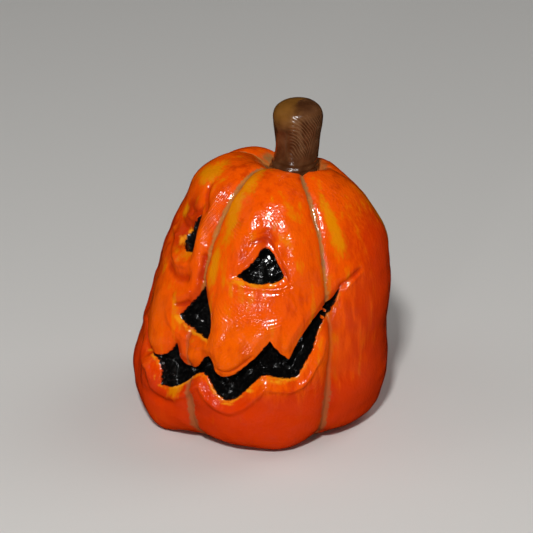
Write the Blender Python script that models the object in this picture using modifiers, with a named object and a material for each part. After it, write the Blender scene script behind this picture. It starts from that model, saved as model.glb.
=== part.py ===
"""A small pumpkin lantern modelled in clay: one solid lobed body with a carved face of
blind recesses, and a short stalk seated in a socket in its crown.

Metres, +Z up, standing on z = 0 with the middle of its footprint at the origin.  The
face looks along -Y.  Sizes below are in millimetres, and a place on the face is given
as (across, up): the arc length round the body from the middle of the face, positive
towards +X, and the height on the body's upright profile.
"""

import math

import bmesh
import bpy
import numpy as np

MM = 0.001

# The body's upright profile, from the middle of its underside to the rim of the crown's
# hollow: share of the way up, radius, height, and the section's middle in x and y.
STATIONS = np.array((
    (0.00, 0.0, 0.0, 0.3, -1.0),
    (0.14, 14.2, 0.0, 0.3, -1.2),
    (0.20, 17.4, 1.6, 0.4, -1.4),
    (0.30, 19.4, 6.5, 0.6, -1.6),
    (0.44, 18.8, 14.5, 1.3, -0.8),
    (0.58, 17.7, 23.0, 2.1, 0.2),
    (0.73, 14.6, 32.0, 2.4, 0.5),
    (0.84, 10.6, 37.6, 2.1, 0.7),
    (0.92, 6.8, 39.8, 2.2, 1.5),
    (1.00, 2.6, 38.1, 3.9, 3.3),
))
BASE_RIM = 0.14
HIGHEST = 0.94

# The crown dips towards the back: drop for each millimetre back, and its share by station.
CROWN_TILT = 0.22
CROWN_TILT_SHARE = np.array((0.0, 0.0, 0.0, 0.0, 0.0, 0.1, 0.5, 0.9, 1.0, 1.0))
CROWN_TILT_PIVOT = 3.0
# Further forward of the pivot than this the drop weakens to this share.
CROWN_TILT_REACH = 3.0
CROWN_TILT_SOFT = 0.45

# The creases between the lobes: their angles round the body, in degrees from the middle
# of the face, at these heights.
CREASE_HEIGHTS = np.array((0.0, 9.0, 17.0, 26.0, 33.0, 40.0))
CREASES = np.array((
    (-94.0, -93.0, -90.0, -87.0, -84.0, -80.0),
    (7.0, 3.4, -4.2, -3.8, -2.8, 4.5),
    (70.5, 70.5, 69.5, 65.3, 65.3, 66.0),
    (147.0, 147.0, 146.0, 144.0, 141.0, 134.0),
    (194.0, 194.0, 193.0, 191.0, 189.0, 184.0),
    (232.0, 232.0, 232.0, 231.0, 230.0, 228.0),
))
LOBE_DEPTH = 1.5
LOBE_LEVEL = 0.72
COLUMNS_PER_LOBE = 12
RINGS = 40

# Swellings and hollows of the modelled face: across, up, half width, half height, rise.
FACE_RADIUS = 18.5
RELIEF = (
    (9.5, 17.0, 6.5, 4.2, 1.6),
    (4.2, 21.5, 2.2, 4.4, 0.7),
    (4.8, 32.8, 2.8, 2.6, 0.5),
    (16.5, 31.0, 2.8, 5.0, 0.4),
    (7.2, 34.9, 2.0, 1.8, 0.4),
    (14.2, 34.2, 2.2, 2.6, 0.35),
    (10.7, 33.9, 1.5, 1.5, -0.5),
    (10.4, 32.5, 2.4, 0.9, -0.3),
    (6.6, 30.6, 1.7, 1.6, -0.45),
    (14.0, 30.2, 1.0, 2.4, -0.3),
    (-10.4, 31.2, 3.2, 3.2, -1.2),
    (-3.4, 31.6, 1.5, 4.2, 0.9),
    (-9.0, 19.5, 3.4, 4.4, 0.8),
    (-7.2, 14.8, 1.9, 1.7, 0.7),
    (0.3, 15.2, 1.5, 1.4, 0.7),
    (6.4, 15.2, 1.9, 1.7, 0.5),
    (-14.5, 12.5, 3.0, 4.0, 0.45),
    (-7.5, 10.2, 2.2, 2.6, 0.7),
    (1.8, 11.0, 1.8, 2.0, 0.5),
    (13.5, 11.5, 4.5, 1.8, 0.5),
    (20.8, 17.0, 1.8, 5.0, 0.45),
    (-5.0, 6.6, 3.0, 0.9, -0.4),
    (-6.0, 1.5, 3.6, 3.0, 1.2),
    (17.0, 1.5, 5.0, 2.6, 0.9),
    (-18.0, 14.0, 6.5, 6.0, -0.7),
    (-18.0, 37.0, 9.0, 4.0, 0.5),
    (27.0, 28.0, 5.0, 8.0, 0.3),
    (40.0, 33.5, 11.0, 6.5, 0.9),
    (42.0, 14.0, 12.0, 9.0, -0.5),
)
RELIEF_ENDS = 0.98
RELIEF_FADES = 0.88
FOOT_ROUNDING = 1.2

# Outlines of the carved openings: across, up, and 1 where the outline turns a corner.
RIGHT_EYE = (
    (5.4, 27.7, 1), (7.9, 29.7, 0), (9.3, 31.4, 0), (10.4, 31.8, 0),
    (11.7, 31.0, 0), (13.7, 28.2, 1), (12.4, 27.4, 0), (8.8, 26.9, 0),
)
LEFT_EYE = (
    (-5.4, 28.7, 1), (-5.9, 31.0, 0), (-6.9, 34.2, 1), (-7.8, 32.9, 0),
    (-9.4, 31.5, 0), (-10.4, 30.0, 1), (-9.2, 28.9, 0), (-7.2, 28.4, 0),
)
NOSE = (
    (-1.2, 25.4, 1), (-2.0, 23.4, 0), (-3.0, 22.2, 0), (-4.5, 19.9, 1),
    (-2.7, 18.9, 0), (0.6, 18.5, 0), (2.8, 18.3, 1), (2.9, 20.2, 0),
    (1.4, 22.6, 0),
)
MOUTH = (
    (-9.2, 12.7, 1), (-7.4, 12.8, 0), (-6.0, 13.1, 0), (-4.6, 14.2, 0),
    (-3.8, 15.7, 0), (-3.2, 15.1, 0), (-2.5, 13.9, 0), (-0.6, 13.2, 0),
    (1.5, 13.8, 0), (3.1, 15.9, 0), (4.5, 15.3, 0), (5.1, 13.9, 0),
    (6.6, 13.4, 0), (8.4, 14.5, 0), (10.4, 17.0, 0), (12.2, 19.5, 1),
    (13.8, 17.8, 0), (15.5, 16.5, 1), (16.1, 18.3, 0), (17.7, 20.6, 0),
    (20.1, 22.9, 0), (22.2, 24.3, 0), (24.0, 26.0, 1), (22.3, 22.7, 0),
    (20.1, 20.3, 0), (19.2, 17.6, 0), (17.8, 14.7, 0), (16.6, 13.4, 0),
    (14.2, 13.7, 0), (12.2, 14.1, 0), (10.6, 12.5, 0), (9.0, 10.5, 0),
    (7.3, 9.7, 0), (5.4, 10.8, 0), (3.9, 12.6, 0), (2.6, 13.0, 0),
    (1.0, 12.0, 0), (-0.8, 10.2, 0), (-3.0, 8.9, 0), (-4.6, 8.9, 1),
    (-5.0, 10.8, 0), (-6.2, 12.2, 0), (-7.6, 12.4, 0),
)
# The far corner of the mouth, which a bridge of clay parts from the rest.
MOUTH_CORNER = (
    (-13.6, 17.4, 1), (-16.4, 19.6, 0), (-20.8, 23.8, 1), (-17.8, 19.2, 0),
    (-15.4, 17.0, 0),
)
RECESS_DEPTH = 2.4
CUTTER_CLEARANCE = 3.0
OUTLINE_STEPS = 3
STRIP_ACROSS = 2.0
STRIP_UP = 3.0

# The stalk: its middle, the height of its foot, and its profile from the foot up.
STALK_X = 3.6
STALK_Y = 3.3
STALK_FOOT = 37.4
STALK_PROFILE = (
    (3.88, 0.0), (3.92, 0.5), (3.62, 1.5), (3.44, 2.8), (3.36, 4.8), (3.46, 6.8),
    (3.70, 8.8), (3.76, 10.1), (3.35, 11.1), (2.35, 11.7), (1.20, 12.0), (0.0, 12.05),
)
STALK_SIDES = 32
GAP = 0.3
SOCKET_TOP = 48.0


def smooth_curve(at, knots, values):
    """The cubic through the knots whose slope at each is that of its neighbours."""
    slopes = np.gradient(values, knots)
    i = np.clip(np.searchsorted(knots, at, side="right") - 1, 0, len(knots) - 2)
    width = knots[i + 1] - knots[i]
    s = (at - knots[i]) / width
    return (
        (1 + 2 * s) * (1 - s) ** 2 * values[i]
        + s * (1 - s) ** 2 * width * slopes[i]
        + s * s * (3 - 2 * s) * values[i + 1]
        + s * s * (s - 1) * width * slopes[i + 1]
    )


def station(share, column):
    return smooth_curve(share, STATIONS[:, 0], STATIONS[:, column])


def plain_body(angle, share):
    """The body without its lobes: a leaning stack of circles, in millimetres."""
    radius = station(share, 1)
    y = station(share, 4) - radius * np.cos(angle)
    tilt = CROWN_TILT * smooth_curve(share, STATIONS[:, 0], CROWN_TILT_SHARE)
    back = y - CROWN_TILT_PIVOT
    softened = CROWN_TILT_SOFT * (back + CROWN_TILT_REACH) - CROWN_TILT_REACH
    z = station(share, 2) - tilt * np.where(back < -CROWN_TILT_REACH, softened, back)
    x = station(share, 3) + radius * np.sin(angle)
    return np.stack((x, y, np.maximum(z, 0.0)), axis=-1)


def outward(angle, share):
    """The plain body's unit normals, from small steps each way."""
    step = 1e-3
    lower = np.clip(share - step, BASE_RIM, 1.0)
    upper = np.clip(share + step, BASE_RIM, 1.0)
    round_way = plain_body(angle + step, share) - plain_body(angle - step, share)
    up_way = plain_body(angle, upper) - plain_body(angle, lower)
    normal = np.cross(round_way, up_way)
    return normal / np.linalg.norm(normal, axis=-1, keepdims=True)


def crease_angles(height):
    """The angle of each crease at the given heights, and the first one a turn later."""
    angles = [smooth_curve(height, CREASE_HEIGHTS, row) for row in np.radians(CREASES)]
    angles.append(angles[0] + 2 * math.pi)
    return np.stack(angles)


def lobe_share(angle, height):
    """How far across its lobe a place lies, from 0 at one crease to 1 at the next."""
    edges = crease_angles(height)
    turned = edges[0] + (angle - edges[0]) % (2 * math.pi)
    share = np.zeros_like(turned)
    for low, high in zip(edges[:-1], edges[1:]):
        inside = (turned >= low) & (turned < high)
        share = np.where(inside, (turned - low) / (high - low), share)
    return share


def relief(angle, share, height):
    """The sum of soft swellings, fading out towards the crown."""
    across = FACE_RADIUS * angle
    rise = np.zeros_like(across)
    for middle, up, half_width, half_height, amount in RELIEF:
        away = ((across - middle) / half_width) ** 2 + ((height - up) / half_height) ** 2
        rise += amount * np.exp(-away)
    fade = np.clip((RELIEF_ENDS - share) / (RELIEF_ENDS - RELIEF_FADES), 0.0, 1.0)
    return rise * fade * fade * (3 - 2 * fade)


def body_surface(angle, share):
    """The lobed body: the plain one pushed out between its creases and over the face."""
    height = station(share, 2)
    size = np.clip(station(share, 1) / STATIONS[3, 1], 0.0, 1.0) ** 0.8
    arch = np.sin(math.pi * lobe_share(angle, height)) ** 0.7
    rise = LOBE_DEPTH * size * (arch - LOBE_LEVEL) + relief(angle, share, height)
    points = plain_body(angle, share)
    rise *= np.clip(points[..., 2] / FOOT_ROUNDING, 0.0, 1.0)
    points = points + outward(angle, share) * rise[..., None]
    points[..., 2] = np.maximum(points[..., 2], 0.0)
    return points


def material(name, colour, roughness):
    made = bpy.data.materials.new(name)
    made.use_nodes = True
    shader = made.node_tree.nodes["Principled BSDF"]
    shader.inputs["Base Color"].default_value = (*colour, 1.0)
    shader.inputs["Roughness"].default_value = roughness
    return made


def mesh_object(name, bm, collection, surface):
    mesh = bpy.data.meshes.new(name)
    bm.to_mesh(mesh)
    bm.free()
    mesh.materials.append(surface)
    mesh.shade_smooth()
    made = bpy.data.objects.new(name, mesh)
    collection.objects.link(made)
    return made


def place_points(bm, points):
    for vertex, point in zip(bm.verts, points * MM):
        vertex.co = point


def sphere_grid():
    """Each vertex of a sphere as a ring number from the bottom and a column number."""
    columns = COLUMNS_PER_LOBE * len(CREASES)
    bm = bmesh.new()
    bmesh.ops.create_uvsphere(bm, u_segments=columns, v_segments=RINGS, radius=1.0)
    places = np.array([vertex.co[:] for vertex in bm.verts])
    ring = np.rint(np.arccos(np.clip(-places[:, 2], -1, 1)) / math.pi * RINGS)
    turn = np.arctan2(places[:, 1], places[:, 0]) / (2 * math.pi) % 1.0
    return bm, ring, np.rint(turn * columns) % columns


def body_points(ring, column):
    """The sphere's rings go to the stations and its columns to the lobes, so that each
    crease runs down one column."""
    share = BASE_RIM + (1 - BASE_RIM) * (ring - 1) / (RINGS - 2)
    share = np.clip(share, BASE_RIM, 1.0)
    edges = crease_angles(station(share, 2))
    lobe = (column // COLUMNS_PER_LOBE).astype(int)
    part = (column % COLUMNS_PER_LOBE) / COLUMNS_PER_LOBE
    rows = np.arange(len(ring))
    angle = edges[lobe, rows] * (1 - part) + edges[lobe + 1, rows] * part
    points = body_surface(angle, share)
    points[ring == 0] = (STATIONS[0, 3], STATIONS[0, 4], 0.0)
    points[ring == RINGS] = points[ring == RINGS - 1].mean(axis=0)
    return points


def make_body(collection, surface):
    """Returns the body and the middle of its footprint, which goes to the origin."""
    bm, ring, column = sphere_grid()
    points = body_points(ring, column)
    middle = (points.min(axis=0) + points.max(axis=0)) / 2
    middle[2] = 0.0
    place_points(bm, points - middle)
    return mesh_object("body", bm, collection, surface), middle


def outline_mesh(name, outline, thickness):
    """A flat plate with the outline's shape, cut into strips that can bend."""
    curve = bpy.data.curves.new(name, "CURVE")
    curve.dimensions = "2D"
    curve.fill_mode = "BOTH"
    curve.extrude = thickness / 2
    curve.resolution_u = OUTLINE_STEPS
    spline = curve.splines.new("BEZIER")
    spline.bezier_points.add(len(outline) - 1)
    spline.use_cyclic_u = True
    for point, (across, up, corner) in zip(spline.bezier_points, outline):
        point.co = (across, up, 0.0)
        point.handle_left_type = "VECTOR" if corner else "AUTO"
        point.handle_right_type = point.handle_left_type
    plate = bpy.data.objects.new(name, curve)
    bpy.context.scene.collection.objects.link(plate)
    bpy.context.view_layer.update()
    graph = bpy.context.evaluated_depsgraph_get()
    mesh = bpy.data.meshes.new_from_object(plate.evaluated_get(graph))
    bm = bmesh.new()
    bm.from_mesh(mesh)
    bpy.data.objects.remove(plate)
    bpy.data.meshes.remove(mesh)
    bmesh.ops.remove_doubles(bm, verts=bm.verts, dist=1e-4)
    return bm


def slice_plate(bm, axis, step):
    """Cuts the plate across at every step along x or y."""
    reach = [vertex.co[axis] for vertex in bm.verts]
    normal = [0.0, 0.0, 0.0]
    normal[axis] = 1.0
    for at in np.arange(math.ceil(min(reach) / step) * step, max(reach), step):
        place = [value * at for value in normal]
        everything = bm.verts[:] + bm.edges[:] + bm.faces[:]
        bmesh.ops.bisect_plane(bm, geom=everything, dist=1e-4, plane_co=place, plane_no=normal)


def make_cutter(name, outline, middle, collection, surface):
    """The plate bent round the body: one side clear of it, the other at the recess floor."""
    bm = outline_mesh(name, outline, 2.0)
    slice_plate(bm, 0, STRIP_ACROSS)
    slice_plate(bm, 1, STRIP_UP)
    bmesh.ops.triangulate(bm, faces=bm.faces)
    places = np.array([vertex.co[:] for vertex in bm.verts])
    angle = places[:, 0] / FACE_RADIUS
    shares = np.linspace(BASE_RIM, HIGHEST, 400)
    heights = np.maximum.accumulate(station(shares, 2))
    share = np.interp(places[:, 1], heights, shares)
    depth = np.where(places[:, 2] > 0, CUTTER_CLEARANCE, -RECESS_DEPTH)
    points = plain_body(angle, share) + outward(angle, share) * depth[:, None]
    place_points(bm, points - middle)
    bmesh.ops.recalc_face_normals(bm, faces=bm.faces)
    return mesh_object(name, bm, collection, surface)


def make_socket(middle, collection, surface):
    """The round seat for the stalk, open upwards."""
    bm = bmesh.new()
    floor = STALK_FOOT - GAP
    radius = max(r for r, _ in STALK_PROFILE) + GAP
    bmesh.ops.create_cone(
        bm, cap_ends=True, segments=STALK_SIDES, radius1=radius, radius2=radius,
        depth=SOCKET_TOP - floor,
    )
    places = np.array([vertex.co[:] for vertex in bm.verts])
    seat = np.array((STALK_X, STALK_Y, (SOCKET_TOP + floor) / 2))
    place_points(bm, places + seat - middle)
    return mesh_object("stalk_socket_cutter", bm, collection, surface)


def cut(body, cutter):
    cutter.hide_render = True
    cutter.display_type = "WIRE"
    boolean = body.modifiers.new(cutter.name, "BOOLEAN")
    boolean.operation = "DIFFERENCE"
    boolean.solver = "EXACT"
    boolean.material_mode = "TRANSFER"
    boolean.object = cutter


def make_stalk(middle, collection, surface):
    """A turned profile: it runs from the top down its outer side to the foot's middle."""
    profile = [(radius * MM, 0.0, up * MM) for radius, up in reversed(STALK_PROFILE)]
    profile.append((0.0, 0.0, 0.0))
    bm = bmesh.new()
    verts = [bm.verts.new(point) for point in profile]
    for first, second in zip(verts[:-1], verts[1:]):
        bm.edges.new((first, second))
    stalk = mesh_object("stalk", bm, collection, surface)
    screw = stalk.modifiers.new("turned", "SCREW")
    screw.axis = "Z"
    screw.steps = STALK_SIDES
    screw.render_steps = STALK_SIDES
    screw.use_merge_vertices = True
    screw.merge_threshold = 1e-5
    screw.use_smooth_shade = True
    stalk.location = (
        (STALK_X - middle[0]) * MM,
        (STALK_Y - middle[1]) * MM,
        STALK_FOOT * MM,
    )
    return stalk


def main():
    for old in list(bpy.data.objects):
        bpy.data.objects.remove(old)
    parts = bpy.data.collections.new("pumpkin_lantern")
    cutters = bpy.data.collections.new("cutters")
    for collection in (parts, cutters):
        bpy.context.scene.collection.children.link(collection)

    orange = material("orange_painted_clay", (0.83, 0.13, 0.01), 0.3)
    black = material("black_painted_clay", (0.01, 0.01, 0.01), 0.25)
    brown = material("brown_clay", (0.11, 0.04, 0.02), 0.35)

    body, middle = make_body(parts, orange)
    openings = {
        "right_eye": RIGHT_EYE,
        "left_eye": LEFT_EYE,
        "nose": NOSE,
        "mouth": MOUTH,
        "mouth_corner": MOUTH_CORNER,
    }
    for name, outline in openings.items():
        cut(body, make_cutter(name + "_cutter", outline, middle, cutters, black))
    cut(body, make_socket(middle, cutters, orange))
    make_stalk(middle, parts, brown)


main()
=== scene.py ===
import math
from functools import partial
import bpy
import numpy as np
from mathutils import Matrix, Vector


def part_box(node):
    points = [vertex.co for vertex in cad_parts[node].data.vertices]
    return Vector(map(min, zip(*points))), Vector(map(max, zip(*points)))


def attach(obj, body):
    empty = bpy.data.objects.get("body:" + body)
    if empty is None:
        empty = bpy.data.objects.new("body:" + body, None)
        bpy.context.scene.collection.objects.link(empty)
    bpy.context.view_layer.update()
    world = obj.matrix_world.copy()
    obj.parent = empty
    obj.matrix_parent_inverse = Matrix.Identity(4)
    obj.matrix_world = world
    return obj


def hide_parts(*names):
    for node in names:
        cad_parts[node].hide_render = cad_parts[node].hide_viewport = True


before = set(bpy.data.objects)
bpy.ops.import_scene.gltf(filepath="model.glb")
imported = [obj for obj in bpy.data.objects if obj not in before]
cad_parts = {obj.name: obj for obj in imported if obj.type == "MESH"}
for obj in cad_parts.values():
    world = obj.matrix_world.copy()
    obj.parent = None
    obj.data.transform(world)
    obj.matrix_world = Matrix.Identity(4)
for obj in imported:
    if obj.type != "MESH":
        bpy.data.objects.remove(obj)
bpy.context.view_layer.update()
print("frame loaded")

mm = 0.001

# The body's upright profile in millimetres, from the middle of its underside to the
# rim round the stalk: share of the way up, radius, height, section's middle x and y.
body = {
    "stations": np.array((
        (0.00, 0.0, 0.0, 0.3, -1.0),
        (0.14, 14.2, 0.0, 0.3, -1.2),
        (0.20, 17.4, 1.6, 0.4, -1.4),
        (0.30, 19.4, 6.5, 0.6, -1.6),
        (0.44, 18.8, 14.5, 1.3, -0.8),
        (0.58, 17.7, 23.0, 2.1, 0.2),
        (0.73, 14.6, 32.0, 2.4, 0.5),
        (0.84, 10.6, 37.6, 2.1, 0.7),
        (0.92, 6.8, 39.8, 2.2, 1.5),
        (1.00, 2.6, 39.0, 3.9, 3.3))),
    "baseRim": 0.14,
    "tilt": 0.22,  # the crown drops this much for each millimetre back
    "tiltShare": np.array((0.0, 0.0, 0.0, 0.0, 0.0, 0.1, 0.5, 0.9, 1.0, 1.0)),
    "tiltPivot": 3.0,
    "tiltSoft": (3.0, 0.45),  # further forward than this the tilt weakens
    "faceRadius": 18.5,  # an angle times this is the distance across the face
    "creaseHeights": np.array((0.0, 9.0, 17.0, 26.0, 33.0, 40.0)),
    "creases": np.array((
        (-94.0, -93.0, -90.0, -87.0, -84.0, -80.0),
        (7.0, 3.4, -4.2, -3.8, -2.8, 4.5),
        (70.5, 70.5, 69.5, 65.3, 65.3, 66.0),
        (147.0, 147.0, 146.0, 144.0, 141.0, 134.0),
        (194.0, 194.0, 193.0, 191.0, 189.0, 184.0),
        (232.0, 232.0, 232.0, 231.0, 230.0, 228.0))),
    "lobeDepth": 1.5,
    "lobeLevel": 0.72,
    # spacing of the mesh in millimetres, across at these angles and up at these shares
    "acrossSpacing": ((-180, 0.7), (-172, 0.6), (-169, 0.3), (-165, 0.6), (-136, 0.6), (-129, 0.3),
                      (-124, 0.6), (-98, 0.6), (-93, 0.35), (-82, 0.3), (-62, 0.178), (82, 0.178),
                      (92, 0.45), (130, 0.6), (136, 0.35), (147, 0.35), (152, 0.7), (180, 0.7)),
    "upSpacing": ((0.0, 3.0), (0.13, 2.0), (0.15, 0.6), (0.24, 0.5), (0.29, 0.2), (0.31, 0.178),
                  (0.78, 0.178), (0.84, 0.28), (1.0, 0.28)),
}

# Swellings and hollows: across, up, half width, half height, rise, in millimetres.
relief = (
    (9.5, 17.0, 6.5, 4.2, 1.6),  # cheek and upper lip
    (4.2, 21.5, 2.2, 4.4, 0.7),  # cheek beside the nose
    (4.8, 32.8, 2.8, 2.6, 0.5),  # forehead, middle side
    (16.5, 31.0, 2.8, 5.0, 0.4),  # forehead, outer side
    (7.2, 34.9, 2.0, 1.8, 0.3),
    (14.2, 34.2, 2.2, 2.6, 0.35),
    (10.5, 33.9, 1.9, 1.4, -0.35),  # hollow over the eye
    (10.4, 32.5, 2.4, 0.9, -0.3),
    (6.6, 30.6, 1.7, 1.6, -0.3),
    (14.0, 30.2, 1.0, 2.4, -0.3),
    (-10.4, 31.2, 3.2, 3.2, -1.2),  # other eye's socket
    (-3.4, 31.6, 1.5, 4.2, 0.9),  # roll between that eye and the middle crease
    (-9.0, 19.5, 3.4, 4.4, 0.8),  # other cheek
    (-7.2, 14.8, 1.9, 1.7, 0.7),
    (0.3, 15.2, 1.5, 1.4, 0.7),  # middle tooth
    (6.4, 15.2, 1.9, 1.7, 0.5),
    (-14.5, 12.5, 3.0, 4.0, 0.45),  # jaw, far side
    (-7.5, 10.2, 2.2, 2.6, 0.7),  # lower lip, other side
    (1.8, 11.0, 1.8, 2.0, 0.5),
    (13.5, 11.5, 4.5, 1.8, 0.5),
    (20.8, 15.5, 1.8, 4.0, 0.4),
    (-5.0, 6.6, 3.0, 0.9, -0.4),
    (-5.7, 1.5, 3.8, 3.0, 1.45),  # foot of that side
    (17.0, 1.5, 5.0, 2.6, 0.55),
    (4.6, 7.2, 3.4, 1.5, -0.3),  # under the lower lip
    (-18.0, 14.0, 6.5, 6.0, -0.7),
    (-18.0, 37.0, 9.0, 4.0, 0.5),
    (27.0, 28.0, 5.0, 8.0, 0.3),
    (40.0, 33.5, 11.0, 6.5, 0.9),  # shoulder
    (42.0, 14.0, 12.0, 9.0, -0.5),
)

# Folds and ridges: points along each, its half width and its rise.
folds = (
    # right eye: under lid, its creases, then the wrinkles over the top and down the outer side
    (((5.0, 26.9), (7.5, 26.55), (10.5, 26.5), (13.0, 26.6), (14.5, 27.2)), 0.24, 0.26),
    (((5.6, 26.1), (8.0, 25.95), (11.0, 25.9), (13.2, 26.0)), 0.22, -0.14),
    (((8.4, 25.5), (10.6, 25.3), (12.6, 25.5)), 0.2, -0.08),
    (((13.8, 26.2), (14.8, 25.2), (15.4, 24.0)), 0.24, 0.16),
    (((14.8, 26.6), (15.6, 25.8), (16.6, 25.2)), 0.22, 0.12),
    (((7.4, 32.0), (9.4, 32.7), (11.0, 32.4), (12.4, 30.9), (13.8, 28.6), (14.7, 26.9)), 0.3, -0.22),
    (((12.3, 31.8), (13.4, 30.2), (14.4, 28.6), (15.0, 27.4)), 0.28, 0.14),
    (((6.6, 32.6), (8.6, 33.2), (10.4, 33.6), (12.0, 32.6)), 0.24, -0.1),
    # left eye
    (((-4.6, 34.6), (-6.2, 35.4), (-7.6, 36.8)), 0.6, -0.45),
    (((-7.0, 34.0), (-8.4, 33.4), (-10.2, 33.2)), 0.4, -0.3),
    (((-7.6, 33.0), (-9.2, 32.3), (-11.4, 32.4)), 0.3, 0.25),
    (((-9.8, 30.8), (-11.4, 30.9), (-13.4, 31.4)), 0.4, -0.3),
    (((-10.6, 29.4), (-12.4, 29.2), (-14.0, 29.6)), 0.45, 0.3),
    (((23.8, 25.9), (25.4, 26.7), (27.4, 27.5)), 0.4, -0.35),
    (((24.4, 25.3), (25.8, 26.1), (27.2, 26.8)), 0.3, 0.15),
    (((-8.6, 12.7), (-10.4, 14.0), (-12.6, 16.4), (-14.6, 18.6)), 0.55, -0.95),
    (((-2.0, 26.0), (-1.8, 27.2), (-2.0, 29.0)), 0.45, -0.45),
    (((-9.5, 25.4), (-7.0, 24.8), (-4.6, 25.3)), 0.7, -0.35),
    (((-9.2, 27.2), (-7.4, 26.4), (-5.6, 26.8)), 0.5, 0.25),
    (((-5.2, 21.3), (-4.2, 21.7), (-3.4, 22.2)), 0.35, -0.5),
    (((-5.8, 22.4), (-4.4, 22.9), (-3.4, 23.7)), 0.4, 0.25),
    (((-7.4, 9.0), (-5.0, 7.4), (-2.4, 7.2)), 0.9, -0.25),
    (((5.6, 14.5), (7.2, 14.5), (8.6, 15.6), (10.0, 17.2)), 0.24, -0.3),
    (((14.6, 18.4), (15.2, 20.0), (16.6, 22.0)), 0.4, 0.12),
)

# Outlines of the carved openings: across, up, and 1 where the outline turns a corner.
openings = {
    "rightEye": ((5.4, 27.7, 1), (7.9, 29.7, 0), (9.3, 31.4, 0), (10.4, 31.8, 0), (11.7, 31.0, 0),
                 (13.7, 28.2, 1), (12.4, 27.4, 0), (8.8, 26.9, 0)),
    "leftEye": ((-5.4, 28.7, 1), (-5.9, 31.0, 0), (-6.9, 34.2, 1), (-7.8, 32.9, 0), (-9.4, 31.5, 0),
                (-10.4, 30.0, 1), (-9.2, 28.9, 0), (-7.2, 28.4, 0)),
    "nose": ((-1.2, 25.4, 1), (-2.0, 23.4, 0), (-3.0, 22.2, 0), (-4.5, 19.9, 1), (-2.7, 18.9, 0),
             (0.6, 18.5, 0), (2.8, 18.3, 1), (2.9, 20.2, 0), (1.4, 22.6, 0)),
    "mouth": ((-9.2, 12.7, 1), (-7.4, 12.8, 0), (-6.0, 13.1, 0), (-4.6, 14.2, 0), (-3.8, 15.7, 0),
              (-3.2, 15.1, 0), (-2.5, 13.9, 0), (-0.6, 13.2, 0), (1.5, 13.8, 0), (3.1, 15.9, 0),
              (4.5, 15.3, 0), (5.1, 13.9, 0), (6.6, 13.4, 0), (8.4, 14.5, 0), (10.4, 17.0, 0),
              (12.2, 19.5, 1), (13.8, 17.8, 0), (15.5, 16.5, 1), (16.1, 18.3, 0), (17.7, 20.6, 0),
              (20.1, 22.9, 0), (22.2, 24.3, 0), (24.0, 26.0, 1), (22.3, 22.7, 0), (20.1, 20.3, 0),
              (19.2, 17.6, 0), (17.8, 14.7, 0), (16.6, 13.4, 0), (14.2, 13.7, 0), (12.2, 14.1, 0),
              (10.6, 12.5, 0), (9.0, 10.5, 0), (7.3, 9.7, 0), (5.4, 10.8, 0), (3.9, 12.6, 0),
              (2.6, 13.0, 0), (1.0, 12.0, 0), (-0.8, 10.2, 0), (-3.0, 8.9, 0), (-4.6, 8.9, 1),
              (-5.0, 10.8, 0), (-6.2, 12.2, 0), (-7.6, 12.4, 0)),
    "mouthCorner": ((-13.6, 17.4, 1), (-16.4, 19.6, 0), (-20.8, 23.8, 1), (-17.8, 19.2, 0), (-15.4, 17.0, 0)),
}
# Flecks of orange left standing in the black, and how big they are.
islands = ((21.2, 22.6, 0.3, 0.3), (20.8, 21.6, 0.24, 0.2), (20.4, 23.0, 0.22, 0.2))
recess = {
    "depth": 2.4,
    "wall": 0.75,  # how far in from the edge the floor is reached
    # where the skin turns in, below and above an opening: how far out it starts, how far it
    # drops, and the clay pushed up outside it: its rise, how far out and how wide
    "rim": (1.1, 1.2),
    "rimDrop": (0.32, 0.4),
    "lip": (0.46, 0.14),
    "lipAt": (1.7, 1.9),
    "lipWidth": (0.5, 0.9),
    "lipShare": {"rightEye": 0.25, "leftEye": 0.5, "nose": 0.6, "mouth": 1.0, "mouthCorner": 0.6},
}

# Finger marks: middle, half size and the middle of the arcs, each across and up, and how
# strongly they were pressed.
prints = (
    ((5.4, 23.2), (3.0, 2.2), (10.5, 30.5), 0.8),
    ((10.4, 21.6), (4.2, 1.6), (10.5, 30.5), 0.9),
    ((7.2, 17.8), (4.2, 2.2), (-6.0, 30.0), 0.5),
    ((5.0, 33.6), (2.2, 1.7), (5.8, 38.5), 1.6),
    ((12.6, 35.2), (2.0, 1.2), (4.0, 26.0), 0.5),
    ((-2.6, 34.6), (2.4, 4.6), (-26.0, 46.0), 1.8),
    ((17.4, 30.6), (1.8, 2.2), (40.0, 24.0), 0.3),
    ((1.4, 29.0), (1.8, 3.4), (-12.0, 14.0), 0.5),
    ((3.6, 19.0), (1.6, 2.0), (-4.0, 10.0), 0.6),
    ((22.0, 31.0), (2.0, 4.0), (44.0, 20.0), 0.35),
)
ridgeSpacing = 0.46  # millimetres between the ridges of an adult finger

# Patches of thinner or older paint, yellow-brown: across, up, half width, half height.
ochrePatches = (
    (2.3, 35.5, 2.2, 4.5), (3.6, 38.6, 2.8, 1.8), (24.3, 33.5, 1.5, 4.2), (-11.0, 38.0, 4.0, 1.5),
    (0.8, 28.0, 1.2, 3.4), (-13.0, 32.5, 1.0, 1.2),
    (-1.8, 9.6, 1.3, 2.2), (40.0, 30.0, 2.0, 6.0), (70.0, 26.0, 2.2, 6.0), (-44.0, 30.0, 2.2, 5.0),
)
# Where bright yellow shows beside an opening.
yellowPatches = (
    (6.0, 26.9, 1.9, 0.55), (-10.6, 29.0, 1.8, 0.9), (-9.8, 30.6, 1.2, 0.8), (-4.2, 19.2, 1.4, 0.8),
    (-1.0, 18.3, 2.0, 0.4), (-5.7, 9.6, 0.4, 1.0), (13.4, 13.0, 2.6, 0.7), (7.6, 9.2, 1.6, 0.3),
    (10.6, 11.8, 1.2, 0.4),
)
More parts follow.
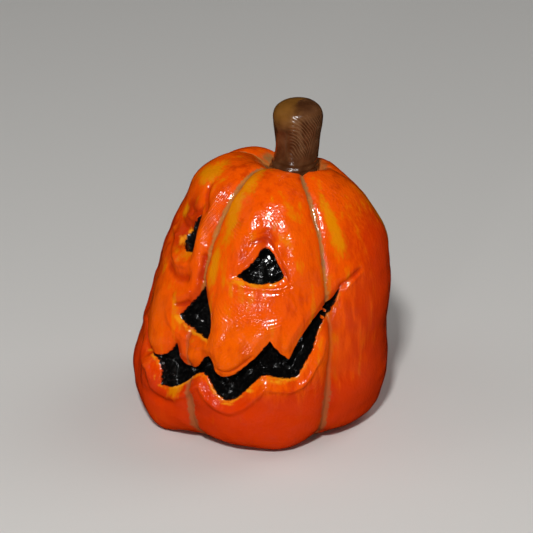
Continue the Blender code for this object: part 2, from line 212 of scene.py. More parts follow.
# How much of each crease's paint shows, at the crease heights.
creasePaint = np.array((
    (0.1, 0.3, 0.5, 0.7, 0.8, 1.0),
    (0.7, 0.65, 0.3, 0.9, 1.0, 1.0),
    (0.7, 0.6, 0.1, 0.9, 1.0, 1.0),
    (0.2, 0.4, 0.5, 0.7, 0.9, 1.0),
    (0.2, 0.4, 0.5, 0.7, 0.9, 1.0),
    (0.2, 0.4, 0.5, 0.7, 0.9, 1.0)))

skin = {
    "footRounding": 1.2,  # below this height every swelling fades out
    "crownFade": (0.98, 0.88),  # shares of the way up between which the swellings fade
    "carved": (0.2, 0.9),  # shares between which folds and openings lie
    "unevenness": ((0.16, 7.0, 3), (0.05, 2.6, 4)),  # rise, size and seed
    "wavyEdge": (0.06, (1.1, 5), (1.3, 6)),  # how far an opening's edge strays, sizes and seeds
    "floorLumps": ((0.3, 2.4, 8), (0.09, 1.1, 9)),
    "creaseDepth": 0.22,
    "creaseWidth": 0.55,
    "creaseLow": (16, 10),  # between these heights the creases turn wide and shallow
    "beads": (24.5, 26, 29, 32),  # where paint stands in beads along the middle crease
    "beadRise": 0.12,
    "dip": 0.7,  # the crown's clay sinks this far beside the stalk
    "dipReach": (4.2, 6.6),
    "washReach": (4.9, 6.0),  # the tan wash fades out between these
    "sideReach": (13, 30),  # painted shade, a more red colour, comes in between these distances across
    "sideHeight": (38, 30),
    "lowHeight": (15, 8),  # and between these heights
    "sideShadeAmount": 0.75,
}


def hermite(at, knots, values):
    # cubic through the knots whose slope at each is that of its neighbours
    slopes = np.gradient(values, knots)
    i = np.clip(np.searchsorted(knots, at, side="right") - 1, 0, len(knots) - 2)
    width = knots[i + 1] - knots[i]
    s = (at - knots[i]) / width
    return ((1 + 2 * s) * (1 - s) ** 2 * values[i] + s * (1 - s) ** 2 * width * slopes[i]
            + s * s * (3 - 2 * s) * values[i + 1] + s * s * (s - 1) * width * slopes[i + 1])


def smoothStep(low, high, x):
    # t squared times (3 - 2t), where t goes from 0 at low to 1 at high
    t = np.clip((x - low) / (high - low), 0, 1)
    return t * t * (3 - 2 * t)


def lumps(points, size, seed):
    # sum of plane waves in random directions, about the given size, between -1 and 1
    waves = 14
    rng = np.random.default_rng(seed)
    directions = rng.normal(size=(waves, points.shape[-1]))
    directions /= np.linalg.norm(directions, axis=1, keepdims=True)
    lengths = size * rng.uniform(0.7, 1.6, waves)
    turns = points @ (directions / lengths[:, None]).T * 2 * math.pi + rng.uniform(0, 7, waves)
    return np.sin(turns).sum(axis=-1) / math.sqrt(waves) * 0.7


def station(share, column):
    # one column of the body's profile, read at a share of the way up
    return hermite(share, body["stations"][:, 0], body["stations"][:, column])


def plainBody(angle, share):
    # a leaning stack of circles: middle plus radius times (sine, minus cosine), with the
    # crown tilted back
    radius = station(share, 1)
    y = station(share, 4) - radius * np.cos(angle)
    back = y - body["tiltPivot"]
    reach, soft = body["tiltSoft"]
    back = np.where(back < -reach, -reach + soft * (back + reach), back)
    tilt = body["tilt"] * hermite(share, body["stations"][:, 0], body["tiltShare"])
    z = np.maximum(station(share, 2) - tilt * back, 0)
    return np.stack((station(share, 3) + radius * np.sin(angle), y, z), axis=-1)


def outward(angle, share):
    # unit normals of the plain body, from small steps each way
    step = 1e-3
    share = np.clip(share, body["baseRim"] + step, 1 - step)
    roundWay = plainBody(angle + step, share) - plainBody(angle - step, share)
    upWay = plainBody(angle, share + step) - plainBody(angle, share - step)
    normal = np.cross(roundWay, upWay)
    return normal / np.linalg.norm(normal, axis=-1, keepdims=True)


def lobePlace(angle, height):
    # how far across its lobe a place lies, 0 to 1, and its distance from the nearest crease
    edges = [hermite(height, body["creaseHeights"], row) for row in np.radians(body["creases"])]
    edges.append(edges[0] + 2 * math.pi)
    turned = edges[0] + (angle - edges[0]) % (2 * math.pi)
    painted = [np.interp(height, body["creaseHeights"], row) for row in creasePaint]
    painted.append(painted[0])
    share = np.zeros_like(turned)
    nearest = np.full_like(turned, 9.0)
    paintHere = np.zeros_like(turned)
    for low, high, lowPaint, highPaint in zip(edges[:-1], edges[1:], painted[:-1], painted[1:]):
        inside = (turned >= low) & (turned < high)
        share = np.where(inside, (turned - low) / (high - low), share)
        nearest = np.where(inside, np.minimum(turned - low, high - turned), nearest)
        paintHere = np.where(inside, np.where(turned - low < high - turned, lowPaint, highPaint), paintHere)
    return share, nearest, paintHere


def patchMask(places, patches):
    # soft round patches: 1 in the middle of each, 0 past its edge
    mask = np.zeros(len(places))
    for across, up, halfWidth, halfHeight in patches:
        away = ((places[:, 0] - across) / halfWidth) ** 2 + ((places[:, 1] - up) / halfHeight) ** 2
        mask = np.maximum(mask, np.exp(-away))
    return mask


def closedOutline(points, steps=5):
    # cubic pieces from point to point; the slope is half the way between the neighbours,
    # and nothing at a corner
    p = np.array(points)[:, :2]
    slope = (np.roll(p, -1, 0) - np.roll(p, 1, 0)) / 2
    slope[np.array(points)[:, 2] > 0] = 0
    t = (np.arange(steps) / steps)[None, :, None]
    a, b = p[:, None], np.roll(p, -1, 0)[:, None]
    u, v = slope[:, None], np.roll(slope, -1, 0)[:, None]
    curve = ((1 + 2 * t) * (1 - t) ** 2 * a + t * (1 - t) ** 2 * u
             + t * t * (3 - 2 * t) * b + t * t * (t - 1) * v)
    return curve.reshape(-1, 2)


def pathDistance(points, path, closed):
    # distance from each point to the nearest place on the path, and the way to it
    a = path if closed else path[:-1]
    b = np.roll(path, -1, 0) if closed else path[1:]
    along = b - a
    t = ((points[:, None] - a) * along).sum(-1) / (along * along).sum(-1)
    near = a + np.clip(t, 0, 1)[..., None] * along - points[:, None]
    squares = (near * near).sum(-1)
    best = squares.argmin(1)
    rows = np.arange(len(points))
    return np.sqrt(squares[rows, best]), near[rows, best]


def insideOutline(points, path):
    # a ray to the right crosses the outline an odd number of times
    a, b = path, np.roll(path, -1, 0)
    x, y = points[:, 0, None], points[:, 1, None]
    spans = (a[:, 1] > y) != (b[:, 1] > y)
    rise = np.where(b[:, 1] == a[:, 1], 1e-9, b[:, 1] - a[:, 1])
    cross = a[:, 0] + (y - a[:, 1]) / rise * (b[:, 0] - a[:, 0])
    return (spans & (x < cross)).sum(1) % 2 == 1


def openingDistance(places, reach=3.0):
    # how far inside an opening each place lies, negative outside, how far below (+1) or
    # above (-1) the edge it is, and how much of a lip that opening has
    inside = np.full(len(places), -reach)
    below = np.zeros(len(places))
    lipShare = np.zeros(len(places))
    for name, outline in openings.items():
        path = closedOutline(outline)
        near = ((places > path.min(0) - reach) & (places < path.max(0) + reach)).all(1)
        away, way = pathDistance(places[near], path, True)
        sign = np.where(insideOutline(places[near], path), 1, -1)
        better = away * sign > inside[near]
        rows = np.flatnonzero(near)[better]
        inside[rows] = (away * sign)[better]
        below[rows] = (way[:, 1] / np.maximum(away, 1e-6) * -sign)[better]
        lipShare[rows] = recess["lipShare"][name]
    return inside, below, lipShare


def foldRelief(places):
    # each fold is a bell over the distance from a smooth path through its points
    rise = np.zeros(len(places))
    for points, halfWidth, amount in folds:
        path = np.array(points)
        t = np.linspace(0, len(path) - 1, len(path) * 5)
        knots = np.arange(len(path)).astype(float)
        path = np.stack((hermite(t, knots, path[:, 0]), hermite(t, knots, path[:, 1])), -1)
        near = ((places > path.min(0) - 3) & (places < path.max(0) + 3)).all(1)
        away = pathDistance(places[near], path, False)[0]
        rise[near] += amount * np.exp(-(away / halfWidth) ** 2)
    return rise


def spaced(knots, lengths, spacing):
    # places along the knots so that neighbours are as far apart as the spacing says there
    at, step = np.array(spacing).T
    count = np.concatenate(((0,), np.cumsum(np.diff(lengths) / np.interp(knots[1:], at, step))))
    number = int(round(count[-1]))
    return np.interp(np.linspace(0, count[-1], number + 1), count, knots)


def gridMesh(name, points, attributes):
    # rows of points round a closed form, its two ends drawn together to one point each
    rows, columns = points.shape[:2]
    ends = np.stack((points[0].mean(0), points[-1].mean(0)))
    verts = np.concatenate((points.reshape(-1, 3), ends)) * mm
    i, j = np.meshgrid(np.arange(rows - 1), np.arange(columns), indexing="ij")
    k = (j + 1) % columns
    quads = np.stack((i * columns + j, i * columns + k, (i + 1) * columns + k, (i + 1) * columns + j), -1)
    j = np.arange(columns)
    k = (j + 1) % columns
    bottom = np.stack((np.full(columns, rows * columns), k, j), -1)
    last = (rows - 1) * columns
    top = np.stack((np.full(columns, rows * columns + 1), last + j, last + k), -1)
    loops = np.concatenate((quads.reshape(-1), bottom.reshape(-1), top.reshape(-1)))
    sizes = np.concatenate((np.full(quads.size // 4, 4), np.full(2 * columns, 3)))
    mesh = bpy.data.meshes.new(name)
    mesh.vertices.add(len(verts))
    mesh.vertices.foreach_set("co", verts.ravel())
    mesh.loops.add(len(loops))
    mesh.loops.foreach_set("vertex_index", loops)
    mesh.polygons.add(len(sizes))
    mesh.polygons.foreach_set("loop_start", np.concatenate(((0,), np.cumsum(sizes)[:-1])))
    mesh.update(calc_edges=True)
    mesh.validate()
    mesh.shade_smooth()
    for label, values in attributes.items():
        layer = mesh.attributes.new(label, "FLOAT", "POINT")
        ends = (values[:columns].mean(), values[-columns:].mean())
        layer.data.foreach_set("value", np.concatenate((values, ends)).astype(np.float32))
    piece = bpy.data.objects.new(name, mesh)
    bpy.context.scene.collection.objects.link(piece)
    return piece


def makeBody():
    # the plain body moved along its normals by the sum of lobes, swellings, folds, lumps,
    # creases, lips and recesses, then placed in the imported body's box
    shares = np.linspace(0, 1, 1500)
    profile = np.stack((station(shares, 1), station(shares, 2)), -1)
    lengths = np.concatenate(((0,), np.cumsum(np.linalg.norm(np.diff(profile, axis=0), axis=1))))
    shares = spaced(shares, lengths, body["upSpacing"])
    shares = shares[shares > 0.02]
    degrees = np.linspace(-180, 180, 1500)
    angles = np.radians(spaced(degrees, np.radians(degrees) * body["faceRadius"], body["acrossSpacing"]))[:-1]
    share, angle = np.meshgrid(shares, angles, indexing="ij")
    size = share.shape
    share, angle = share.ravel(), angle.ravel()
    print("body grid", size)
    height = station(share, 2)
    places = np.stack((angle * body["faceRadius"], height), -1)
    plain = plainBody(angle, share)
    normal = outward(angle, share)
    foot = np.clip(plain[:, 2] / skin["footRounding"], 0, 1)
    lobe, nearest, creaseStrength = lobePlace(angle, height)
    radius = station(share, 1)
    arch = np.sin(math.pi * lobe) ** 0.7 - body["lobeLevel"]
    crownAway = np.hypot(plain[:, 0] - stalk["foot"][0], plain[:, 1] - stalk["foot"][1])
    crownAway += 0.4 * lumps(plain, 2.0, 15)
    onCrown = share > 0.85
    widest = body["stations"][:, 1].max()
    rise = body["lobeDepth"] * np.clip(radius / widest, 0, 1) ** 0.8 * arch
    onFace = (share > skin["carved"][0]) & (share < skin["carved"][1])
    dent = np.zeros(len(places))
    proud = np.zeros(len(places))
    for across, up, halfWidth, halfHeight, amount in relief:
        away = ((places[:, 0] - across) / halfWidth) ** 2 + ((places[:, 1] - up) / halfHeight) ** 2
        swelling = amount * np.exp(-away) * smoothStep(*skin["crownFade"], share)
        rise += swelling
        dent -= np.minimum(swelling, 0)
        proud += np.maximum(swelling, 0)
    fold = foldRelief(places) * onFace
    rise += fold
    dent += np.maximum(-fold, 0) * 1.6
    rise += sum(amount * lumps(plain, lumpSize, seed) for amount, lumpSize, seed in skin["unevenness"])
    creaseAway = nearest * radius + 0.12 * lumps(plain, 3.2, 14)
    lowDown = smoothStep(*skin["creaseLow"], height)
    inCrease = np.exp(-(creaseAway / (skin["creaseWidth"] + 0.5 * lowDown)) ** 2)
    rise -= (skin["creaseDepth"] - 0.12 * lowDown) * inCrease
    start, full, fading, end = skin["beads"]
    beads = smoothStep(start, full, height) * smoothStep(end, fading, height) * (np.abs(angle) < 0.5)
    rise += skin["beadRise"] * beads * lumps(plain, 0.5, 16) * np.exp(-(creaseAway / 0.6) ** 2)
    stray, *waves = skin["wavyEdge"]
    nudge = np.stack([lumps(plain, *wave) for wave in waves], -1) * stray
    inside, below, lipShare = openingDistance(places + nudge)
    inside = np.where(onFace, inside, -3.0)
    island = patchMask(places, islands)
    inside = np.where(island > 0.4, np.minimum(inside, 0.5 - 1.2 * island), inside)
    lipShare *= smoothStep(23, 18, places[:, 0])  # the lip dies away towards the corner
    above = smoothStep(0.5, -0.5, below)
    rim, drop, lip, lipAt, lipWidth = (
        recess[key][0] * (1 - above) + recess[key][1] * above
        for key in ("rim", "rimDrop", "lip", "lipAt", "lipWidth"))
    rise += lipShare * lip * np.exp(-((inside + lipAt) / lipWidth) ** 2)
    rise -= drop * smoothStep(-1, 0, inside / rim)
    down = smoothStep(-0.05, recess["wall"], inside)
    floor = sum(amount * lumps(plain, lumpSize, seed) for amount, lumpSize, seed in skin["floorLumps"])
    rise += down * (floor - recess["depth"])
    rise -= skin["dip"] * (1 - smoothStep(*skin["dipReach"], crownAway)) * onCrown
    rise *= foot
    points = plain + normal * rise[:, None]
    points[:, 2] = np.maximum(points[:, 2], 0)

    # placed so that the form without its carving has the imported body's box
    low, high = np.array(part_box("body")) / mm
    shift = (low + high) / 2 - (points.min(0) + points.max(0)) / 2
    shift[2] = 0
    points += shift
    mask = np.zeros(len(points))
    phase = np.zeros(len(points))
    best = np.full(len(points), 1e9)
    for middle, half, centre, pressed in prints:
        away = (((places - middle) / half) ** 2).sum(1)
        strength = pressed * (1 - smoothStep(0.5, 1.15, np.sqrt(away) + 0.2 * lumps(plain, 3.0, 12)))
        reach = np.linalg.norm(places - centre, axis=1) + 0.12 * lumps(plain, 3.5, 13)
        nearer = away < best
        phase = np.where(nearer, reach / ridgeSpacing * 2 * math.pi, phase)
        mask = np.where(nearer, strength, mask)
        best = np.minimum(best, away)
    ring = (1 - smoothStep(*skin["washReach"], crownAway)) * onCrown
    # painted shade: a more red colour on the flanks below the crown and low down
    paintedSideShade = smoothStep(*skin["sideReach"], np.abs(places[:, 0] - 6)) * smoothStep(*skin["sideHeight"], height)
    paintedSideShade = skin["sideShadeAmount"] * np.maximum(paintedSideShade, smoothStep(*skin["lowHeight"], height))
    attributes = {
        "recessEdge": inside,
        "edgeBelow": below,
        "creaseAway": creaseAway / (1 + 0.9 * lowDown),
        "creaseLow": lowDown,
        "creaseStrength": creaseStrength,
        "crownRing": ring,
        "ochre": patchMask(places, ochrePatches),
        "yellow": patchMask(places, yellowPatches),
        "paintedSideShade": paintedSideShade,
        "ridgePhase": phase,
        "ridgeMask": mask * (inside < -0.4),
        "hollow": rise,
        "dent": dent,
        "proud": proud,
    }
    return gridMesh("paintedBody", points.reshape(*size, 3), attributes), shift


stalk = {
    "foot": (3.3, 3.0),  # its middle there, and higher up
    "middle": (3.75, 3.45),
    "profile": np.array((
        (0.0, 36.6, 3.8), (0.08, 37.9, 3.86), (0.16, 38.9, 3.74), (0.26, 40.2, 3.48), (0.40, 42.2, 3.36),
        (0.54, 44.2, 3.46), (0.68, 46.2, 3.70), (0.78, 47.5, 3.74), (0.87, 48.5, 3.3), (0.94, 49.1, 2.3),
        (0.98, 49.35, 1.2), (1.0, 49.4, 0.35))),  # share of the way up, height, radius
    "upright": (38, 43),  # its middle shifts between these heights
    "unround": ((0.02, 3, 1.0), (0.025, 2, -0.6)),  # share of the radius, times round, turn
    "unevenness": 0.1,
    "wrinkleHeight": 39.6,
    "waist": 3.6,  # an angle times this is the distance round
    "pressed": (41.0, 42.5, 47.2, 48.6),  # a thumb pressed here, fading in and out
    "whorl": (1.0, 36.5),  # the middle of its ridges: around, height
    "ridgeSpacing": 0.27,
    "around": 200,
    "rows": 150,
}


def makeStalk(shift):
    # at each height a middle plus radius times (sine, minus cosine), a little out of round
    angles = np.linspace(-math.pi, math.pi, stalk["around"], endpoint=False)
    share, angle = np.meshgrid(np.linspace(0, 1, stalk["rows"]), angles, indexing="ij")
    size = share.shape
    share, angle = share.ravel(), angle.ravel()
    knots = stalk["profile"][:, 0]
    height = hermite(share, knots, stalk["profile"][:, 1])
    radius = hermite(share, knots, stalk["profile"][:, 2])
    direction = np.stack((np.sin(angle), -np.cos(angle), np.zeros_like(angle)), -1)
    base = direction * radius[:, None] + np.stack((angle * 0, angle * 0, height), -1)
    radius = radius * (1 + sum(amount * np.cos(times * angle + turn)
                               for amount, times, turn in stalk["unround"]))
    radius += stalk["unevenness"] * lumps(base, 5.0, 21) * smoothStep(0, 1.5, radius)
    # soft creases round the foot, where it was pressed on
    wrinkle = np.exp(-((height - stalk["wrinkleHeight"]) / 0.9) ** 2)
    radius += wrinkle * (0.09 * np.sin(7 * height + 1.2 * np.sin(2 * angle)) + 0.05 * lumps(base, 1.2, 22))
    points = direction * radius[:, None]
    upright = smoothStep(*stalk["upright"], height)[:, None]
    middle = np.array(stalk["foot"]) * (1 - upright) + np.array(stalk["middle"]) * upright
    points[:, :2] += middle + shift[:2]
    points[:, 2] = height
    # the thumb's ridges are rings about a middle, drawn out upwards
    around = angle * stalk["waist"]
    whorl = np.hypot(around - stalk["whorl"][0], (height - stalk["whorl"][1]) * 0.45)
    phase = (whorl + 0.1 * lumps(base, 2.5, 23)) / stalk["ridgeSpacing"] * 2 * math.pi
    start, full, fading, end = stalk["pressed"]
    pressed = smoothStep(start, full, height) * smoothStep(end, fading, height)
    attributes = {
        "ridgePhase": phase,
        "ridgeMask": pressed * smoothStep(0.9, 1.9, around) * smoothStep(8.0, 6.5, around),
        "ochre": smoothStep(44.5, 48.5, height) * smoothStep(4.5, -0.5, around),
        # painted highlight: a pale strip down the stalk's front
        "wearAndSheen": np.exp(-((around - 2.9 - 0.14 * (44 - height)) / 0.7) ** 2) * smoothStep(41.5, 43, height)
        * smoothStep(48.4, 47.2, height),
    }
    return gridMesh("clayStalk", points.reshape(*size, 3), attributes)


def linear(code):
    # sRGB hex to linear colour with an alpha of one
    values = [int(code[i:i + 2], 16) / 255 for i in (0, 2, 4)]
    return [v / 12.92 if v <= 0.04045 else ((v + 0.055) / 1.055) ** 2.4 for v in values] + [1.0]


def addNode(material, kind, inputs=(), output=0, **settings):
    # one node: settings are its properties, and an input is a value or another node's output
    node = material.node_tree.nodes.new(kind)
    for name, value in settings.items():
        setattr(node, name, value)
    for name, value in dict(inputs).items():
        if isinstance(value, bpy.types.NodeSocket):
            material.node_tree.links.new(value, node.inputs[name])
        else:
            node.inputs[name].default_value = value
    return node.outputs[output] if node.outputs else node


def newMaterial(name):
    # an empty material, and addNode for it
    material = bpy.data.materials.new(name)
    material.use_nodes = True
    material.node_tree.nodes.clear()
    return material, partial(addNode, material)


smooth = {"interpolation_type": "SMOOTHSTEP"}

paint = {
    "orange": "F05400",
    "deep": "B82A00",
    # the more red colour of the painted shade on the flanks and low down
    "red": "D63200",
    # the lighter colour on the swellings, partly painted light
    "light": "F46C00",
    "ochre": "E08800",
    "yellow": "F09410",
    "crease": "B47A3A",
    "creaseDull": "8A6E40",
    "black": "080707",
    "grey": "1C1B1A",
    "roughness": (0.11, 0.25),
    "cloudSize": 8.0,
    "streakSize": 1.4,  # a loaded brush
    "hairSize": 0.5,  # its single bristles, coarser than life so that they show
    "speckSize": 0.5,
    "ridgeHeight": 0.02,
    "grainSize": 0.42,
    "grainHeight": 0.06,
    "waveHeight": 0.04,
}


def paintedClay():
    # baked polymer clay, painted by hand and varnished: wet-looking, with brush streaks that
    # let lighter paint through, a skin faintly pitted, deeper colour in the hollows, partly paint collected
    # there and partly painted shade, lighter colour on the swellings, partly paint rubbed thin and partly
    # painted light, and painted shade, a more red colour, on the flanks and low down
    material, node = newMaterial("varnishedPaintedPolymerClay")
    place = node("ShaderNodeTexCoord", output="Object")
    brushed = node("ShaderNodeMapping", {"Vector": place, "Scale": (1, 1, 0.16)})
    clouds = node("ShaderNodeTexNoise",
                  {"Vector": place, "Scale": 1 / (paint["cloudSize"] * mm), "Detail": 2.0})
    streaks = node("ShaderNodeTexNoise",
                   {"Vector": brushed, "Scale": 1 / (paint["streakSize"] * mm), "Detail": 4.0})
    hairs = node("ShaderNodeTexNoise",
                 {"Vector": brushed, "Scale": 1 / (paint["hairSize"] * mm), "Detail": 3.0})
    specks = node("ShaderNodeTexNoise",
                  {"Vector": place, "Scale": 1 / (paint["speckSize"] * mm), "Detail": 3.0})
    blots = node("ShaderNodeTexNoise", {"Vector": place, "Scale": 1 / (2 * mm), "Detail": 3.0})
    masks = {label: node("ShaderNodeAttribute", output="Fac", attribute_name=label)
             for label in ("paintedSideShade", "hollow", "ochre", "yellow", "creaseAway", "creaseStrength",
                           "creaseLow", "crownRing", "dent", "proud", "recessEdge", "edgeBelow",
                           "ridgePhase", "ridgeMask")}
    tone = node("ShaderNodeMix", {0: 0.4, 2: streaks, 3: clouds})
    strokes = node("ShaderNodeMath", {0: streaks, 1: hairs}, operation="ADD")

    # each layer of paint: how much of it there is, and its colour
    deepStreaks = node("ShaderNodeMapRange", {0: tone, 1: 0.50, 2: 0.66, 4: 0.6}, **smooth)
    thinStreaks = node("ShaderNodeMapRange", {0: tone, 1: 0.46, 2: 0.33, 4: 0.6}, **smooth)
    # painted shade: the more red colour on the flanks and low down, broken by the brush strokes
    shaded = node("ShaderNodeMath", {0: strokes, 1: 0.9, 2: masks["paintedSideShade"]}, operation="MULTIPLY_ADD")
    shaded = node("ShaderNodeMapRange", {0: shaded, 1: 0.85, 2: 1.55, 4: 0.9}, **smooth)
    # deeper colour in the hollows and dents: partly paint collected there, partly painted shade
    sunkAndShaded = node("ShaderNodeMapRange", {0: masks["hollow"], 1: -0.3, 2: -1.0, 4: 0.6}, **smooth)
    pooledAndShaded = node("ShaderNodeMath", {0: blots, 1: 0.5, 2: masks["dent"]}, operation="MULTIPLY_ADD")
    pooledAndShaded = node("ShaderNodeMapRange", {0: pooledAndShaded, 1: 0.35, 2: 0.85, 4: 0.75}, **smooth)
    # lighter colour on the swellings: partly paint rubbed thin there, partly painted light
    wipedAndLit = node("ShaderNodeMath", {0: strokes, 1: 0.8, 2: masks["proud"]}, operation="MULTIPLY_ADD")
    wipedAndLit = node("ShaderNodeMapRange", {0: wipedAndLit, 1: 0.9, 2: 1.7, 4: 0.4}, **smooth)
    ochre = node("ShaderNodeMath", {0: strokes, 1: 0.9, 2: masks["ochre"]}, operation="MULTIPLY_ADD")
    ochre = node("ShaderNodeMapRange", {0: ochre, 1: 1.1, 2: 1.75, 4: 0.85}, **smooth)

    # the creases' tan paint is brushed on thinly, with a wash of it round the stalk
    crease = node("ShaderNodeMath", {0: specks, 1: 0.6, 2: masks["creaseAway"]}, operation="MULTIPLY_ADD")
    crease = node("ShaderNodeMapRange", {0: crease, 1: 0.78, 2: 0.5}, **smooth)
    crease = node("ShaderNodeMath", {0: crease, 1: masks["creaseStrength"]}, operation="MULTIPLY")
    wash = node("ShaderNodeMapRange", {0: blots, 1: 0.35, 2: 0.55, 3: 0.4, 4: 1.0})
    wash = node("ShaderNodeMath", {0: wash, 1: masks["crownRing"]}, operation="MULTIPLY")
    crease = node("ShaderNodeMath", {0: crease, 1: wash}, operation="MAXIMUM")
    crease = node("ShaderNodeMath", {0: crease, 1: 0.8}, operation="MULTIPLY")
    dull = node("ShaderNodeMapRange", {0: blots, 1: 0.4, 2: 0.62}, **smooth)
    dull = node("ShaderNodeMath", {0: dull, 1: masks["creaseLow"]}, operation="MAXIMUM")
    tan = node("ShaderNodeMix", {0: dull, 6: linear(paint["crease"]), 7: linear(paint["creaseDull"])}, 2,
               data_type="RGBA")

    # openings: black to a ragged edge, with yellow left showing beside it
    edge = node("ShaderNodeMath", {0: specks, 1: 0.45, 2: masks["recessEdge"]}, operation="MULTIPLY_ADD")
    rim = node("ShaderNodeMapRange", {0: edge, 1: -0.32, 2: 0.08}, **smooth)
    under = node("ShaderNodeMapRange", {0: masks["edgeBelow"], 1: 0.1, 2: 0.8})
    rim = node("ShaderNodeMath", {0: rim, 1: under}, operation="MULTIPLY")
    broken = node("ShaderNodeMapRange", {0: blots, 1: 0.42, 2: 0.6, 3: 0.1, 4: 0.8})
    rim = node("ShaderNodeMath", {0: rim, 1: broken}, operation="MULTIPLY")
    yellow = node("ShaderNodeMath", {0: specks, 1: 0.8, 2: masks["yellow"]}, operation="MULTIPLY_ADD")
    yellow = node("ShaderNodeMapRange", {0: yellow, 1: 0.75, 2: 1.35, 4: 0.9}, **smooth)
    hug = node("ShaderNodeMapRange", {0: edge, 1: -0.75, 2: -0.2}, **smooth)
    yellow = node("ShaderNodeMath", {0: yellow, 1: hug}, operation="MULTIPLY")
    yellow = node("ShaderNodeMath", {0: yellow, 1: rim}, operation="MAXIMUM")
    black = node("ShaderNodeMapRange", {0: edge, 1: 0.22, 2: 0.31})
    wearAndSheen = node("ShaderNodeMapRange", {0: specks, 1: 0.54, 2: 0.7})
    soot = node("ShaderNodeMix", {0: wearAndSheen, 6: linear(paint["black"]), 7: linear(paint["grey"])}, 2,
                data_type="RGBA")

    color = linear(paint["orange"])
    for amount, layer in ((deepStreaks, linear(paint["deep"])), (thinStreaks, linear(paint["ochre"])),
                          (wipedAndLit, linear(paint["light"])), (shaded, linear(paint["red"])),
                          (sunkAndShaded, linear(paint["deep"])), (pooledAndShaded, linear(paint["deep"])),
                          (ochre, linear(paint["ochre"])), (crease, tan),
                          (yellow, linear(paint["yellow"])), (black, soot)):
        color = node("ShaderNodeMix", {0: amount, 6: color, 7: layer}, 2, data_type="RGBA")

    low, high = paint["roughness"]
    roughness = node("ShaderNodeMapRange", {0: blots, 1: 0.3, 2: 0.7, 3: low, 4: high})
    ridges = node("ShaderNodeMath", {0: masks["ridgePhase"]}, operation="SINE")
    ridges = node("ShaderNodeMath", {0: ridges, 1: masks["ridgeMask"]}, operation="MULTIPLY")
    pressed = node("ShaderNodeMapRange", {0: blots, 1: 0.36, 2: 0.58, 3: 0.25, 4: 1.0})
    ridges = node("ShaderNodeMath", {0: ridges, 1: pressed}, operation="MULTIPLY")
    height = node("ShaderNodeMath", {0: ridges, 1: paint["ridgeHeight"] * mm}, operation="MULTIPLY")
    grain = node("ShaderNodeTexNoise",
                 {"Vector": place, "Scale": 1 / (paint["grainSize"] * mm), "Detail": 0.6})
    for pattern, amount in ((grain, "grainHeight"), (blots, "waveHeight")):
        height = node("ShaderNodeMath", {0: pattern, 1: paint[amount] * mm, 2: height},
                      operation="MULTIPLY_ADD")
    normal = node("ShaderNodeBump", {"Height": height, "Distance": 1.0, "Strength": 1.0})
    shader = node("ShaderNodeBsdfPrincipled", {"Base Color": color, "Roughness": roughness, "Normal": normal,
                                               "IOR": 1.5})
    node("ShaderNodeOutputMaterial", {"Surface": shader})
    return material


stalkPaint = {
    "dark": "42220F",
    "brown": "613C22",
    "ochre": "86571C",
    # pale brown of the finger marks' crests and of the painted highlight strip
    "wearAndSheen": "8A6444",
    "roughness": (0.14, 0.28),
    "ridgeHeight": 0.036,
}


def stalkClay():
    # brown polymer clay rolled between the fingers and varnished: glossy, its finger marks
    # paler on their crests, with ochre showing at the top and a painted highlight, a pale strip down its
    # front
    material, node = newMaterial("varnishedBrownPolymerClay")
    place = node("ShaderNodeTexCoord", output="Object")
    blots = node("ShaderNodeTexNoise", {"Vector": place, "Scale": 1 / (1.8 * mm), "Detail": 4.0})
    specks = node("ShaderNodeTexNoise", {"Vector": place, "Scale": 1 / (0.4 * mm), "Detail": 2.0})
    masks = {label: node("ShaderNodeAttribute", output="Fac", attribute_name=label)
             for label in ("ridgePhase", "ridgeMask", "ochre", "wearAndSheen")}
    ridges = node("ShaderNodeMath", {0: masks["ridgePhase"]}, operation="SINE")
    ridges = node("ShaderNodeMath", {0: ridges, 1: masks["ridgeMask"]}, operation="MULTIPLY")
    lit = node("ShaderNodeMapRange", {0: blots, 1: 0.3, 2: 0.72}, **smooth)
    crest = node("ShaderNodeMapRange", {0: ridges, 1: -0.1, 2: 1.0, 4: 0.42})
    ochre = node("ShaderNodeMath", {0: blots, 1: 0.8, 2: masks["ochre"]}, operation="MULTIPLY_ADD")
    ochre = node("ShaderNodeMapRange", {0: ochre, 1: 0.42, 2: 1.7, 4: 0.8}, **smooth)
    # painted highlight: a pale, flecked strip down the stalk's front
    wearAndSheen = node("ShaderNodeMath", {0: specks, 1: 0.9, 2: masks["wearAndSheen"]}, operation="MULTIPLY_ADD")
    wearAndSheen = node("ShaderNodeMapRange", {0: wearAndSheen, 1: 0.9, 2: 1.6, 4: 0.4}, **smooth)
    color = linear(stalkPaint["dark"])
    for amount, layer in ((lit, "brown"), (ochre, "ochre"), (crest, "wearAndSheen"), (wearAndSheen, "wearAndSheen")):
        color = node("ShaderNodeMix", {0: amount, 6: color, 7: linear(stalkPaint[layer])}, 2,
                     data_type="RGBA")
    low, high = stalkPaint["roughness"]
    roughness = node("ShaderNodeMapRange", {0: blots, 1: 0.3, 2: 0.7, 3: low, 4: high})
    height = node("ShaderNodeMath", {0: ridges, 1: stalkPaint["ridgeHeight"] * mm}, operation="MULTIPLY")
    height = node("ShaderNodeMath", {0: specks, 1: 0.03 * mm, 2: height}, operation="MULTIPLY_ADD")
    normal = node("ShaderNodeBump", {"Height": height, "Distance": 1.0, "Strength": 1.0})
    shader = node("ShaderNodeBsdfPrincipled", {"Base Color": color, "Roughness": roughness, "Normal": normal,
                                               "IOR": 1.5})
    node("ShaderNodeOutputMaterial", {"Surface": shader})
    return material


bodyPiece, shift = makeBody()
bodyPiece.data.materials.append(paintedClay())
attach(bodyPiece, "root")
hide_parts("body")
print("body made", len(bodyPiece.data.polygons), "faces")

stalkPiece = makeStalk(shift)
stalkPiece.data.materials.append(stalkClay())
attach(stalkPiece, "root")
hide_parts("stalk")
print("stalk made")

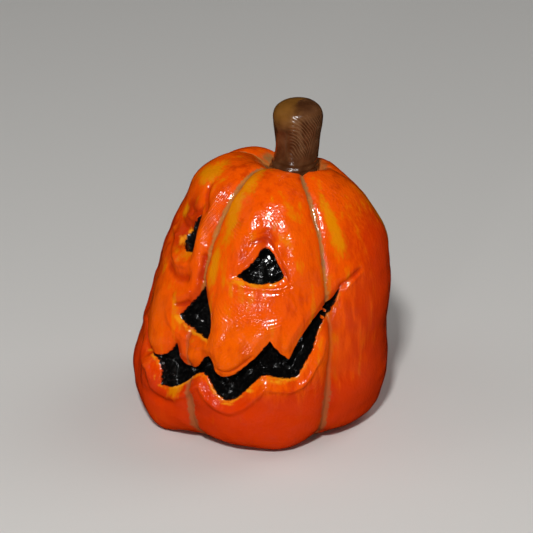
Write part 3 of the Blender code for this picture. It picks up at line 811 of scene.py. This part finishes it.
studio = {
    "azimuth": 39.0,
    "elevation": 25.0,
    "distance": 430 * mm,
    "viewWidth": 81.6 * mm,
    "aim": (-0.18 * mm, 0.95 * mm, 22.6 * mm),
    "floorColour": "D8D6D2",
    "world": 0.09,
    # azimuth, elevation, metres away, size, watts
    "lamps": (("keyLamp", 33, 42, 0.5, 0.04, 1.75), ("frontLamp", 24, 8, 0.6, 0.04, 0.3),
              ("fillLamp", -50, 40, 0.7, 0.4, 0.45), ("backLamp", 150, 50, 0.7, 0.4, 0.9)),
}


def viewDirection(azimuth, elevation):
    # unit vector that azimuth round from the front and that elevation up, in degrees
    a, e = math.radians(azimuth), math.radians(elevation)
    return np.array((math.sin(a) * math.cos(e), -math.cos(a) * math.cos(e), math.sin(e)))


def pointed(thing, place, aim):
    # a camera or lamp at its place, turned to face the aim
    thing.location = place
    thing.rotation_euler = (Vector(aim) - Vector(place)).to_track_quat("-Z", "Y").to_euler()
    bpy.context.scene.collection.objects.link(thing)


def makeStudio():
    aim = np.array(studio["aim"])
    data = bpy.data.cameras.new("camera")
    camera = bpy.data.objects.new("camera", data)
    data.lens = data.sensor_width * studio["distance"] / studio["viewWidth"]
    data.clip_start = 0.01
    pointed(camera, aim + viewDirection(studio["azimuth"], studio["elevation"]) * studio["distance"], aim)
    bpy.context.scene.camera = camera

    mesh = bpy.data.meshes.new("floor")
    reach = 1.5
    corners = [(-reach, -reach, 0), (reach, -reach, 0), (reach, reach, 0), (-reach, reach, 0)]
    mesh.from_pydata(corners, [], [(0, 1, 2, 3)])
    floor = bpy.data.objects.new("floor", mesh)
    bpy.context.scene.collection.objects.link(floor)
    material, node = newMaterial("paintedBoard")
    shader = node("ShaderNodeBsdfPrincipled", {"Base Color": linear(studio["floorColour"]), "Roughness": 0.9})
    node("ShaderNodeOutputMaterial", {"Surface": shader})
    mesh.materials.append(material)

    floor.visible_glossy = False
    for name, azimuth, elevation, distance, size, power in studio["lamps"]:
        lamp = bpy.data.lights.new(name, "AREA")
        lamp.size = size
        lamp.energy = power
        holder = bpy.data.objects.new(name, lamp)
        holder.visible_glossy = name in ("keyLamp", "frontLamp")  # only these make highlights
        pointed(holder, aim + viewDirection(azimuth, elevation) * distance, aim)

    world = bpy.data.worlds.new("studio")
    bpy.context.scene.world = world
    world.use_nodes = True
    world.node_tree.nodes["Background"].inputs["Color"].default_value = (1, 1, 1, 1)
    world.node_tree.nodes["Background"].inputs["Strength"].default_value = studio["world"]
    world.cycles_visibility.glossy = False
    bpy.context.scene.view_settings.view_transform = "Standard"


makeStudio()
print("studio made")
